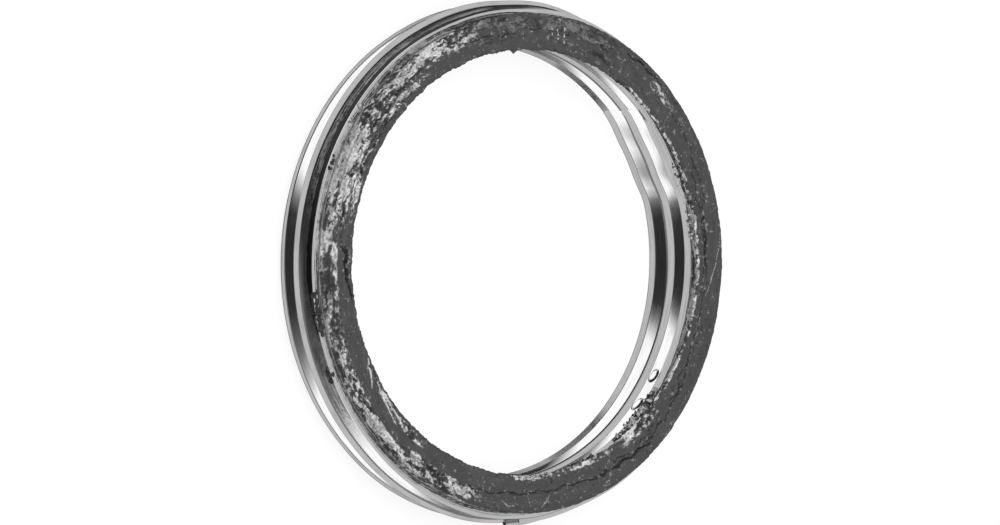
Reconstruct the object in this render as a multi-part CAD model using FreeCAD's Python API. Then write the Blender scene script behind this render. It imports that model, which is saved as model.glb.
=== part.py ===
import FreeCAD, Part

import math
import os

# Exhaust port gasket, spiral wound.
# One thin stainless strip with two pressed ribs is wound on itself. Its first layers lie on each
# other and so do its last, and layers that touch are drawn as one band. The strip crosses from the
# inner band to the outer one through a graphite filler. The filler is pressed out past the front
# edges of the strip and stands there as a thick soft face.
# Lengths are in millimetres and angles in degrees. Z is the ring's axis and the back edges of the
# strip lie at Z = 0. Angles are counted about Z from +X.

# Strip: each stretch of its section from the back edge up, and its steps out from the back edge

strip_thickness = 0.20
strip_height = 4.50
back_rib_rise = 0.44
rib_ledge_height = 0.19
lower_wall_height = 1.50
middle_rib_rise = 0.41
back_rib_step = 0.36
lower_wall_step = 0.205
middle_rib_step = 0.66
upper_wall_step = 0.41
front_edge_step = 0.26

# Winding: spacing, and where the strip starts, climbs and ends

bore_radius = 17.22
turn_slack = 0.01
filler_thickness = 1.72
climb_angle = 9.0
climb_end = 15.0
start_tail_angle = 20.0
end_tail_angle = 103.0

# Graphite: filler between the turns and the soft face in front of them

filler_clearance = 0.01
filler_back_gap = 0.05
slot_clearance = 0.05
pad_height = 1.12
pad_seat_inset = 0.06
pad_outer_spread = 0.05
pad_outer_lean = 0.64
pad_outer_squash = -0.17
pad_inner_spread = 0.90
pad_inner_lean = 0.36
pad_inner_squash = 0.22
outline_points = 24


def strip_inner_line():
    """Side of the strip that faces the bore, as (height, step out) points."""
    back_foot = back_rib_rise + rib_ledge_height
    rib_start = back_foot + lower_wall_height
    middle_crest = rib_start + middle_rib_rise
    middle_foot = middle_crest + rib_ledge_height
    return [
        (0.0, 0.0),
        (back_rib_rise, back_rib_step),
        (back_foot, lower_wall_step),
        (rib_start, lower_wall_step),
        (middle_crest, middle_rib_step),
        (middle_foot, upper_wall_step),
        (strip_height, front_edge_step),
    ]


def normal_of(first, second):
    """Unit vector from a run of the line towards the outside of the ring."""
    run = second[0] - first[0]
    rise = second[1] - first[1]
    length = math.hypot(run, rise)
    return (-rise / length, run / length)


def strip_outer_line():
    """Side of the strip that faces out, one thickness from the inner side all along."""
    inner = strip_inner_line()
    normals = [normal_of(a, b) for a, b in zip(inner[:-1], inner[1:])]
    outer = [(inner[0][0], inner[0][1] + strip_thickness / normals[0][1])]
    for point, before, after in zip(inner[1:-1], normals[:-1], normals[1:]):
        shared = 1.0 + before[0] * after[0] + before[1] * after[1]
        along_z = strip_thickness * (before[0] + after[0]) / shared
        along_r = strip_thickness * (before[1] + after[1]) / shared
        outer.append((point[0] + along_z, point[1] + along_r))
    outer.append((inner[-1][0], inner[-1][1] + strip_thickness / normals[-1][1]))
    return outer


def strip_room():
    """Radial room that the strip takes where it is steepest."""
    inner = strip_inner_line()
    return strip_thickness / min(normal_of(a, b)[1] for a, b in zip(inner[:-1], inner[1:]))


def layer_radii():
    """Radius of the back edge of each layer: tail, two inner layers, two outer ones and the end."""
    plain_pitch = strip_room() + turn_slack
    inside = bore_radius + plain_pitch + strip_room() + filler_thickness
    return (bore_radius - plain_pitch, bore_radius, bore_radius + plain_pitch,
            inside, inside + plain_pitch, inside + 2.0 * plain_pitch)


def at_radius(line, radius):
    """Section line as (height, radius) points for a back edge at the given radius."""
    return [(height, radius + step) for height, step in line]


def band_section(first, last):
    """Section of the layers from one radius to another, which is one layer if both are the same."""
    return at_radius(strip_inner_line(), first) + at_radius(strip_outer_line(), last)[::-1]


def leaned_section(first, following):
    """Section of the layers that fill the room up to the inner side of the following layer."""
    return at_radius(strip_inner_line(), first) + at_radius(strip_inner_line(), following)[::-1]


def flat_face(corners):
    """Flat face with the given corners."""
    return Part.Face(Part.makePolygon(corners + corners[:1]))


def corners_at(section, angle):
    """Corners of a (height, radius) section in the half plane at an angle about Z."""
    turn = math.radians(angle)
    return [FreeCAD.Vector(r * math.cos(turn), r * math.sin(turn), z) for z, r in section]


def arc_piece(section, start_angle, end_angle):
    """Section turned about Z from one angle to the other."""
    face = flat_face(corners_at(section, start_angle))
    return face.revolve(FreeCAD.Vector(0, 0, 0), FreeCAD.Vector(0, 0, 1), end_angle - start_angle)


def climb_piece(section_before, section_after):
    """Short run of flat facets where a layer goes out by one place as the angle falls."""
    high = corners_at(section_before, climb_start())
    low = corners_at(section_after, climb_end)
    faces = [flat_face(low), flat_face(high)]
    for here in range(len(low)):
        a, b = sorted((here, here - 1), key=lambda corner: low[corner].z)
        faces.append(flat_face([low[a], low[b], high[b]]))
        faces.append(flat_face([low[a], high[b], high[a]]))
    return Part.makeSolid(Part.makeShell(faces))


def climb_start():
    """Angle where each climb begins, above the angle where it ends."""
    return climb_end + climb_angle


def make_steel_winding():
    """The strip as one solid, from the tail in the bore to the tail on the outside."""
    tail, first, second, inside, last, end = layer_radii()
    start_tip = climb_start() + start_tail_angle
    end_tip = climb_end - end_tail_angle
    pieces = [
        arc_piece(band_section(tail, second), climb_start(), start_tip),
        climb_piece(leaned_section(tail, second), band_section(first, second)),
        arc_piece(band_section(first, second), start_tip - 360.0, climb_end),
        climb_piece(band_section(second, second), leaned_section(inside, last)),
        arc_piece(band_section(inside, last), climb_start() - 360.0, end_tip),
        climb_piece(band_section(inside, last), band_section(last, end)),
        arc_piece(band_section(inside, end), end_tip, climb_end),
    ]
    return pieces[0].multiFuse(pieces[1:]).removeSplitter()


def lifted(line):
    """Section line cut off at the height where the filler begins."""
    (z0, s0), (z1, s1) = line[:2]
    step = s0 + (s1 - s0) * (filler_back_gap - z0) / (z1 - z0)
    return [(filler_back_gap, step)] + line[1:]


def filler_section():
    """Section of the graphite between the bands, over the rib crests of one to the feet of the other."""
    tail, first, second, inside, last, end = layer_radii()
    start, back_crest, _, _, middle_crest, _, front = strip_outer_line()
    near = at_radius(lifted([start, back_crest, middle_crest, front]), second + filler_clearance)
    start, _, back_foot, rib_start, _, _, front = strip_inner_line()
    far = at_radius(lifted([start, back_foot, rib_start, front]), inside - filler_clearance)
    return near + far[::-1]


def slot_section(radius):
    """Plain section that clears the strip in the layer at the given radius."""
    near = radius - slot_clearance
    far = radius + middle_rib_step + strip_room() + slot_clearance
    bottom = -slot_clearance
    top = strip_height + slot_clearance
    return [(bottom, near), (top, near), (top, far), (bottom, far)]


def outline_wire(radius, lean, squash, height):
    """Closed smooth outline: a circle that leans towards +X and is squashed along Y or X."""
    points = []
    for step in range(outline_points):
        turn = 2.0 * math.pi * step / outline_points
        r = radius + lean * math.cos(turn) + squash * math.cos(2.0 * turn)
        points.append(FreeCAD.Vector(r * math.cos(turn), r * math.sin(turn), height))
    curve = Part.BSplineCurve()
    curve.interpolate(points, PeriodicFlag=True)
    return Part.Wire([curve.toShape()])


def pad_piece():
    """The soft face: it sits on the strip's front edges and leans over to one side."""
    tail, first, second, inside, last, end = layer_radii()
    front_of_outer_line = strip_outer_line()[-1][1]
    seat_inner = second + front_of_outer_line + pad_seat_inset
    seat_outer = inside + front_edge_step - pad_seat_inset
    top = strip_height + pad_height
    outside = Part.makeLoft([
        outline_wire(seat_outer, 0.0, 0.0, strip_height),
        outline_wire(seat_outer + pad_outer_spread, pad_outer_lean, pad_outer_squash, top)], True, True)
    inside = Part.makeLoft([
        outline_wire(seat_inner, 0.0, 0.0, strip_height),
        outline_wire(seat_inner - pad_inner_spread, pad_inner_lean, pad_inner_squash, top)], True, True)
    return outside.cut(inside)


def make_graphite_filler():
    """Filler and soft face as one solid, with a slot where the strip crosses the filler."""
    tail, first, second, inside, last, end = layer_radii()
    ring = arc_piece(filler_section(), 0.0, 360.0)
    slot = climb_piece(slot_section(second), slot_section(inside))
    return pad_piece().fuse(ring.cut(slot)).removeSplitter()


def write_part():
    """Write one file for each piece of the gasket."""
    os.makedirs("parts", exist_ok=True)
    nodes = {"steel_winding": make_steel_winding(), "graphite_filler": make_graphite_filler()}
    for name, shape in nodes.items():
        shape.exportStep("parts/" + name + ".step")
        box = shape.BoundBox
        print(name, "solids", len(shape.Solids), "faces", len(shape.Faces), "valid", shape.isValid(),
              "volume", round(shape.Volume, 2), "box", [round(v, 3) for v in (
                  box.XMin, box.YMin, box.ZMin, box.XMax, box.YMax, box.ZMax)])


write_part()
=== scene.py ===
"""Dresses the exhaust gasket: the wound steel strip, its graphite body, the torn bits on it and a small studio."""

from __future__ import annotations

import logging
import math
import random
from dataclasses import dataclass, field
from enum import Enum
from itertools import pairwise

import bpy
from mathutils import Matrix, Vector, noise

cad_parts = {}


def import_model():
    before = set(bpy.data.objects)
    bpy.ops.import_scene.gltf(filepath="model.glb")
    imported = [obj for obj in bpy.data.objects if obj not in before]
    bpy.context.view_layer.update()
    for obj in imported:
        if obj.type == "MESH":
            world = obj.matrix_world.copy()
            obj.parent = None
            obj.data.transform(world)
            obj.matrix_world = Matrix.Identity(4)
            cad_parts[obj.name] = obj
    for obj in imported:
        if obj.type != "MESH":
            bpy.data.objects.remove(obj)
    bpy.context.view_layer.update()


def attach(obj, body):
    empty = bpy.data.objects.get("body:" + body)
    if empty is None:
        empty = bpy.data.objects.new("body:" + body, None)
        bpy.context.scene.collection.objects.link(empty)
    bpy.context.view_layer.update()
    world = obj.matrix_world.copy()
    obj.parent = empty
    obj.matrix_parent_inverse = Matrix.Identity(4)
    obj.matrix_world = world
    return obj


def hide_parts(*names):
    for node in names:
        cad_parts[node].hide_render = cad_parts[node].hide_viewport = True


log = logging.getLogger("gasket")

MM = 0.001
MARKS_ROUND = 4.0
MARKS_UP = 1000.0
MARKS_OUT = 700.0
BLOTCHES = 900.0

Point = tuple[float, float]
Place = tuple[float, float, float]
Face = tuple[int, ...]
Socket = bpy.types.NodeSocket


class Slot(Enum):
    """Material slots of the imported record."""

    STEEL = "steel"
    GRAPHITE = "graphite"


def smooth(edge_low: float, edge_high: float, value: float) -> float:
    """Soft step of a value, from 0 at the low edge to 1 at the high one."""
    share = min(1.0, max(0.0, (value - edge_low) / (edge_high - edge_low)))
    return share * share * (3.0 - 2.0 * share)


def angle_gap(first: float, second: float) -> float:
    """Signed difference between two angles, from -180 to 180 degrees."""
    return (first - second + 180.0) % 360.0 - 180.0


def beyond(angle: float, start: float, end: float) -> float:
    """Degrees by which an angle lies outside a stretch, negative inside it."""
    return abs(angle_gap(angle, (start + end) / 2.0)) - (end - start) / 2.0


def at_angle(angle: float, radius: float, height: float) -> Place:
    """Place in metres at degrees about Z from +X, with the radius and the height in millimetres."""
    turn = math.radians(angle)
    return (radius * math.cos(turn) * MM, radius * math.sin(turn) * MM, height * MM)


def skin(first: int, rings: int, around: int, closed: bool = False, flipped: bool = False) -> list[Face]:
    """Four-sided faces between rings of points.

    Args:
        first: Number of the first ring's first point.
        rings: How many rings there are.
        around: Points in each ring.
        closed: Whether the last ring joins the first.
        flipped: Whether the faces look the other way.

    Returns:
        The faces.
    """
    faces: list[Face] = []
    for ring in range(rings if closed else rings - 1):
        low = first + ring * around
        high = first + (ring + 1) % rings * around
        for here in range(around):
            ahead = (here + 1) % around
            if flipped:
                faces.append((low + here, low + ahead, high + ahead, high + here))
            else:
                faces.append((low + here, high + here, high + ahead, low + ahead))
    return faces


def make_object(name: str, vertices: list[Place], faces: list[Face],
                sharp_degrees: float = 180.0) -> bpy.types.Object:
    """Mesh object in the scene, smooth but for its sharp edges.

    Args:
        name: Name of the piece.
        vertices: Corner places in metres.
        faces: Corner numbers of each face.
        sharp_degrees: Edges that turn by more than this stay sharp, none of them at 180.

    Returns:
        The new object.
    """
    mesh = bpy.data.meshes.new(name)
    mesh.from_pydata(vertices, [], faces)
    mesh.validate()
    mesh.update()
    mesh.shade_smooth()
    mesh.set_sharp_from_angle(angle=math.radians(sharp_degrees))
    piece = bpy.data.objects.new(name, mesh)
    bpy.context.scene.collection.objects.link(piece)
    return piece


def store(piece: bpy.types.Object, name: str, values: list[float]) -> None:
    """Keeps one number for each vertex under an attribute's name, for the materials to read."""
    layer = piece.data.attributes.new(name, "FLOAT", "POINT")
    layer.data.foreach_set("value", values)


@dataclass(frozen=True)
class StripProfile:
    """Section of the strip, as height above its back edge and step out from it, in millimetres."""

    thickness: float = 0.20
    height: float = 4.50
    back_rib_rise: float = 0.44
    rib_ledge_height: float = 0.19
    lower_wall_height: float = 1.50
    middle_rib_rise: float = 0.41
    back_rib_step: float = 0.36
    lower_wall_step: float = 0.205
    middle_rib_step: float = 0.66
    upper_wall_step: float = 0.41
    front_edge_step: float = 0.26
    crest_radius: float = 0.06
    foot_radius: float = 0.42
    back_crest_radius: float = 0.08
    back_foot_radius: float = 0.22
    edge_radius: float = 0.04
    lip_width: float = 0.135
    lip_radius: float = 0.02
    lip_height: float = 0.10
    lip_root: float = 0.01
    bend_points: int = 5
    bend_reach: float = 0.6

    def inner_line(self) -> list[Point]:
        """Sharp line of the side that faces the bore.

        Returns:
            Its corners from the back edge to the front one, as (height, step out).
        """
        back_foot = self.back_rib_rise + self.rib_ledge_height
        rib_start = back_foot + self.lower_wall_height
        crest = rib_start + self.middle_rib_rise
        return [
            (0.0, 0.0),
            (self.back_rib_rise, self.back_rib_step),
            (back_foot, self.lower_wall_step),
            (rib_start, self.lower_wall_step),
            (crest, self.middle_rib_step),
            (crest + self.rib_ledge_height, self.upper_wall_step),
            (self.height, self.front_edge_step),
        ]

    def bend_radii(self) -> list[float]:
        """Radius of the round at each corner of the inner line."""
        return [self.edge_radius, self.back_crest_radius, self.back_foot_radius, self.foot_radius,
                self.crest_radius, self.foot_radius, self.lip_radius]

    def normals(self) -> list[Point]:
        """Unit normal of each run of the inner line, towards the outside.

        Returns:
            The normals, as (height, step out).
        """
        line = self.inner_line()
        found = []
        for (z0, s0), (z1, s1) in pairwise(line):
            length = math.hypot(z1 - z0, s1 - s0)
            found.append((-(s1 - s0) / length, (z1 - z0) / length))
        return found

    def outer_line(self) -> list[Point]:
        """Sharp line of the side that faces out, one thickness away.

        Returns:
            Its corners from the back edge to the front one, as (height, step out).
        """
        line = self.inner_line()
        normals = self.normals()
        outer = [(line[0][0], line[0][1] + self.thickness / normals[0][1])]
        for point, before, after in zip(line[1:-1], normals[:-1], normals[1:]):
            shared = 1.0 + before[0] * after[0] + before[1] * after[1]
            along_z = self.thickness * (before[0] + after[0]) / shared
            along_r = self.thickness * (before[1] + after[1]) / shared
            outer.append((point[0] + along_z, point[1] + along_r))
        outer.append((line[-1][0], line[-1][1] + self.thickness / normals[-1][1]))
        return outer

    def room(self) -> float:
        """Radial room of the strip where it is steepest."""
        return self.thickness / min(normal[1] for normal in self.normals())

    def inner_step(self, height: float) -> float:
        """Step of the inner line at a height.

        Args:
            height: Height above the back edge in millimetres.

        Returns:
            The step out from the back edge in millimetres.
        """
        line = self.inner_line()
        for (z0, s0), (z1, s1) in pairwise(line):
            if height <= z1:
                return s0 + (s1 - s0) * (height - z0) / (z1 - z0)
        return line[-1][1]

    def loop(self) -> list[Point]:
        """Closed section with rounded bends, rounded edges and a small lip along the front edge.

        Returns:
            Its points, as (height, step out).
        """
        inner = self.inner_line()
        outer = self.outer_line()
        front = outer[-1][1]
        lip = [
            (self.height, front + self.lip_width),
            (self.height - self.lip_height, front + self.lip_width),
            (self.height - self.lip_height - self.lip_width, front + self.lip_root),
        ]
        corners = inner + lip + outer[-2::-1]
        radii = self.bend_radii() + [self.lip_radius, self.edge_radius, self.edge_radius] + self.bend_radii()[-2::-1]
        points: list[Point] = []
        for index, corner in enumerate(corners):
            points += self.bend(corners[index - 1], corner, corners[(index + 1) % len(corners)], radii[index])
        return points

    def bend(self, before: Point, corner: Point, after: Point, radius: float) -> list[Point]:
        """Points of one rounded corner.

        Args:
            before: Corner before this one.
            corner: The sharp corner.
            after: Corner after this one.
            radius: Radius of the rounding in millimetres.

        Returns:
            The points of the round, in order.
        """
        here = Vector(corner)
        back = Vector(before) - here
        ahead = Vector(after) - here
        turn = math.pi - back.angle(ahead)
        reach = min(radius * math.tan(turn / 2.0), self.bend_reach * back.length, self.bend_reach * ahead.length)
        start = here + back.normalized() * reach
        end = here + ahead.normalized() * reach
        points = []
        for step in range(self.bend_points):
            share = step / (self.bend_points - 1)
            point = start * (1.0 - share) ** 2 + here * (2.0 * share * (1.0 - share)) + end * share**2
            points.append((point.x, point.y))
        return points


@dataclass(frozen=True)
class Winding:
    """Path of the strip: radius of its back edge against the angle wound since its start."""

    profile: StripProfile = field(default_factory=StripProfile)
    bore_radius: float = 17.22
    turn_slack: float = 0.01
    filler_width: float = 1.72
    inner_turns: int = 2
    filled_gaps: int = 4
    climb_angle: float = 9.0
    climb_end: float = 15.0
    start_tail_angle: float = 20.0
    end_tail_angle: float = 103.0
    taper_angle: float = 11.0
    taper_end: float = 0.15
    taper_proud: float = 0.004
    out_of_round: tuple[Point, ...] = (
        (0.0, 0.0), (42.0, 0.0), (62.0, 0.22), (76.0, 0.24), (92.0, -0.04), (122.0, -0.25), (150.0, -0.29),
        (182.0, -0.28), (222.0, -0.22), (246.0, -0.08), (262.0, 0.02), (275.0, -0.03), (289.0, -0.18),
        (305.0, -0.06), (325.0, 0.0), (360.0, 0.0))
    pressed_in: tuple[Point, ...] = (
        (0.0, 0.0), (46.0, 0.0), (66.0, -0.16), (82.0, -0.32), (104.0, -0.34), (128.0, -0.12), (156.0, -0.04),
        (200.0, 0.0), (360.0, 0.0))
    lean_start: float = 2.3

    def plain_pitch(self) -> float:
        """Step from a layer to the one that lies on it."""
        return self.profile.room() + self.turn_slack

    def radii(self) -> list[float]:
        """Radius of each layer, from the start tail to the end tail.

        Returns:
            The radii in millimetres.
        """
        plain = self.plain_pitch()
        filled = (self.profile.room() + self.filler_width) / self.filled_gaps
        found = [self.bore_radius - plain, self.bore_radius, self.bore_radius + plain]
        for pitch in [filled] * self.filled_gaps + [plain, plain]:
            found.append(found[-1] + pitch)
        return found

    def start_angle(self) -> float:
        """Angle of the strip's start, at the end of its tail in the bore."""
        return self.climb_end + self.climb_angle + self.start_tail_angle

    def full_turns(self) -> int:
        """Whole turns between the first climb and the last."""
        return len(self.radii()) - 2

    def length(self) -> float:
        """Degrees wound from the start to the end of the strip."""
        return self.start_angle() - self.climb_end + 360.0 * self.full_turns() + self.end_tail_angle

    def at_stops(self, stops: tuple[Point, ...], angle: float) -> float:
        """Reads a list of (degrees, millimetres) stops.

        Args:
            stops: The stops, from 0 to 360 degrees.
            angle: Degrees about Z.

        Returns:
            The smoothly joined value in millimetres.
        """
        turn = angle % 360.0
        for (low, first), (high, second) in pairwise(stops):
            if turn <= high:
                return first + (second - first) * smooth(low, high, turn)
        return stops[-1][1]

    def outwards(self, wound: float) -> float:
        """Share of the outermost turns' bends that a turn takes on, from 0 in the inner band to 1."""
        turns = (wound - self.start_tail_angle) / 360.0 - self.inner_turns
        return min(1.0, max(0.0, turns / self.filled_gaps))

    def lean(self, wound: float, height: float) -> float:
        """Millimetres by which the front of a turn is pressed in, at degrees wound and a height in millimetres."""
        share = self.outwards(wound) * smooth(self.lean_start, self.profile.height, height)
        return share * self.at_stops(self.pressed_in, self.start_angle() - wound)

    def radius(self, wound: float) -> float:
        """Radius of the back edge in millimetres, out of round by more the further out the turn lies."""
        dent = self.at_stops(self.out_of_round, self.start_angle() - wound)
        return self.round_radius(wound) + self.outwards(wound) * dent

    def round_radius(self, wound: float) -> float:
        """Radius of the back edge of a truly round winding.

        Args:
            wound: Degrees wound since the start of the strip.

        Returns:
            The radius in millimetres.
        """
        radii = self.radii()
        since_climb = wound - self.start_tail_angle
        if since_climb <= 0.0:
            lying = radii[1] - self.taper_proud
            return lying + (radii[0] - lying) * smooth(0.0, self.taper_angle, wound)
        layer = min(int(since_climb // 360.0), len(radii) - 2)
        share = smooth(0.0, self.climb_angle, since_climb - 360.0 * layer)
        return radii[layer] + (radii[layer + 1] - radii[layer]) * share

    def thinning(self, wound: float) -> float:
        """Share of the full thickness at degrees wound, less than 1 at the pressed start of the strip."""
        return self.taper_end + (1.0 - self.taper_end) * smooth(0.0, self.taper_angle, wound)

    def layer_start(self, layer: int) -> float:
        """Degrees wound where a layer has ended its climb."""
        return self.start_tail_angle + self.climb_angle + 360.0 * (layer - 1)


@dataclass
class SteelStrip:
    """The strip, swept along its whole winding as one closed solid."""

    winding: Winding
    fine_step: float = 2.0
    hidden_step: float = 5.0
    sway_radius: float = 0.014
    sway_height: float = 0.010
    sway_pace: float = 2.0
    bevel: float = 0.19
    bevel_start: float = 4.3
    bevel_end: float = 4.46
    bevel_layers: float = 1.4
    sharp_angle: float = 34.0

    def stops(self) -> list[float]:
        """Degrees wound at each section: close together where the strip shows, wider in hidden turns.

        Returns:
            The degrees, from 0 to the whole length.
        """
        first_hidden = self.winding.layer_start(self.winding.inner_turns + 1)
        last_hidden = self.winding.layer_start(self.winding.inner_turns + self.winding.filled_gaps - 1)
        found = [0.0]
        while found[-1] < self.winding.length() - self.fine_step:
            wound = found[-1]
            since_climb = (wound - self.winding.start_tail_angle) % 360.0
            hidden = first_hidden < wound < last_hidden
            climbing = since_climb < self.winding.climb_angle or since_climb > 360.0 - self.hidden_step
            found.append(wound + (self.hidden_step if hidden and not climbing else self.fine_step))
        found.append(self.winding.length())
        return found

    def section(self, wound: float) -> list[Place]:
        """Places of the section's points.

        Args:
            wound: Degrees wound since the start.

        Returns:
            The closed section in metres.
        """
        profile = self.winding.profile
        angle = self.winding.start_angle() - wound
        radius = self.winding.radius(wound)
        thin = self.winding.thinning(wound)
        along = Vector((math.radians(wound) * self.sway_pace, 0.0, 0.0))
        lift = self.sway_height * noise.noise(along + Vector((0.0, 7.0, 0.0)))
        places = []
        bevel = self.bevel * (1.0 - self.winding.outwards(wound))
        for height, step in profile.loop():
            inner = profile.inner_step(height)
            sway = self.sway_radius * noise.noise(along + Vector((0.0, 0.0, height * 0.25)))
            out = radius + sway + inner + (step - inner) * thin + self.winding.lean(wound, height)
            lowered = bevel * (1.0 - smooth(0.0, self.bevel_layers * profile.thickness, step - inner))
            lowered *= smooth(self.bevel_start, self.bevel_end, height)
            places.append(at_angle(angle, out, height - lowered + lift * height / profile.height))
        return places

    def build(self, finish: SteelFinish) -> bpy.types.Object:
        """Builds and dresses the strip.

        Args:
            finish: Finish of the steel.

        Returns:
            The strip's object.
        """
        stops = self.stops()
        around = len(self.winding.profile.loop())
        vertices: list[Place] = []
        for wound in stops:
            vertices += self.section(wound)
        faces = skin(0, len(stops), around, flipped=True)
        last = (len(stops) - 1) * around
        faces.append(tuple(range(around - 1, -1, -1)))
        faces.append(tuple(range(last, last + around)))
        piece = make_object("steel_strip", vertices, faces, self.sharp_angle)
        piece.data.materials.append(finish.material())
        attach(piece, "root")
        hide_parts("steel_winding")
        return piece


@dataclass
class SpotWeld:
    """A small dished spot weld on the wall of the bore."""

    name: str
    winding: Winding
    angle: float
    height: float = 3.62
    half_width: float = 0.80
    rim: float = 0.12
    rim_start: float = 0.45
    rim_end: float = 0.86
    dish: float = 0.02
    edge_start: float = 0.9
    tint_at: float = 0.80
    tint_width: float = 0.20
    rings: int = 12
    segments: int = 32

    def rise(self, share: float) -> float:
        """Height of the weld above the wall in millimetres, at a share of its half width from its middle."""
        crown = self.rim * (1.0 - smooth(self.rim_start, self.rim_end, share)) + self.dish * (1.0 - share)
        return crown - self.dish * smooth(self.edge_start, 1.0, share)

    def wall(self, height: float) -> float:
        """Radius of the wall that the weld sits on, at a height in millimetres."""
        return self.winding.bore_radius + self.winding.profile.inner_step(height)

    def build(self, finish: SteelFinish) -> bpy.types.Object:
        """Builds and dresses the weld.

        Args:
            finish: Finish of the steel.

        Returns:
            The weld's object.
        """
        vertices: list[Place] = [at_angle(self.angle, self.wall(self.height) - self.rise(0.0), self.height)]
        tints = [0.0]
        for ring in range(1, self.rings + 1):
            share = ring / self.rings
            for segment in range(self.segments):
                turn = 2.0 * math.pi * segment / self.segments
                sideways = math.degrees(share * self.half_width * math.cos(turn) / self.wall(self.height))
                height = self.height + share * self.half_width * math.sin(turn)
                vertices.append(at_angle(self.angle + sideways, self.wall(height) - self.rise(share), height))
                tints.append(math.exp(-(((share - self.tint_at) / self.tint_width) ** 2)))
        faces = skin(1, self.rings, self.segments)
        for segment in range(self.segments):
            faces.append((0, 1 + segment, 1 + (segment + 1) % self.segments))
        piece = make_object(self.name, vertices, faces)
        store(piece, "tint", tints)
        piece.data.materials.append(finish.material())
        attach(piece, "root")
        return piece


@dataclass(frozen=True)
class Streaks:
    """Fractal unevenness of the graphite that is drawn out along the ring."""

    shift: float
    stretch: float
    scale: float
    octaves: int
    mean_radius: float = 18.0

    def at(self, angle: float, across: float) -> float:
        """Reads the unevenness.

        Args:
            angle: Degrees about Z.
            across: Distance across the streaks in millimetres.

        Returns:
            A number that is mostly between -1 and 1.
        """
        turn = math.radians(angle)
        along = self.mean_radius / self.stretch
        place = Vector((math.cos(turn) * along, math.sin(turn) * along, across + self.shift))
        return noise.fractal(place * self.scale, 0.9, 2.1, self.octaves)


@dataclass(frozen=True)
class TornPatch:
    """A stretch of the graphite face where it is torn up into silvery flakes."""

    start: float
    end: float
    centre: float
    half_width: float
    strength: float
    end_fade: Point = (-6.0, 4.0)
    side_fade: Point = (0.5, 1.3)

    def amount(self, angle: float, across: float) -> float:
        """How torn the face is.

        Args:
            angle: Degrees about Z.
            across: Share of the way from the inner edge of the face to the outer one.

        Returns:
            From 0, smooth, to the patch's strength.
        """
        ends = 1.0 - smooth(*self.end_fade, beyond(angle, self.start, self.end))
        core, skirt = (self.half_width * share for share in self.side_fade)
        sides = 1.0 - smooth(core, skirt, abs(across - self.centre))
        return self.strength * ends * sides


@dataclass(frozen=True)
class Crack:
    """A crack or scratch in the graphite face, from one place to another."""

    start: float
    end: float
    start_across: float
    end_across: float
    half_width: float
    depth: float
    wander: float
    wander_pace: float = 0.22
    taper: float = 0.4
    unevenness: float = 0.9
    uneven_pace: float = 0.45
    thinnest: float = 0.01
    floor_share: float = 0.5
    broken_reach: float = 3.0

    def amount(self, angle: float, across: float, face_width: float) -> Point:
        """How deep the crack is, and how much the graphite beside it is broken up.

        Args:
            angle: Degrees about Z.
            across: Share of the way from the inner edge of the face to the outer one.
            face_width: Width of the face in millimetres.

        Returns:
            The depth in millimetres and the broken share from 0 to 1.
        """
        span = self.end - self.start
        along = angle_gap(angle, self.start) / span
        if not 0.0 < along < 1.0:
            return 0.0, 0.0
        line = self.start_across + (self.end_across - self.start_across) * along
        line += self.wander * noise.fractal(Vector((angle * self.wander_pace, self.start, 3.0)), 1.1, 2.3, 4)
        off = abs(across - line) * face_width
        width = self.half_width * max(0.0, 4.0 * along * (1.0 - along)) ** self.taper
        width *= 1.0 + self.unevenness * noise.noise(Vector((angle * self.uneven_pace, self.end, 5.0)))
        if width <= self.thinnest:
            return 0.0, 0.0
        depth = self.depth * (1.0 - smooth(width * self.floor_share, width, off))
        return depth, 1.0 - smooth(width, width * self.broken_reach, off)


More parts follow.
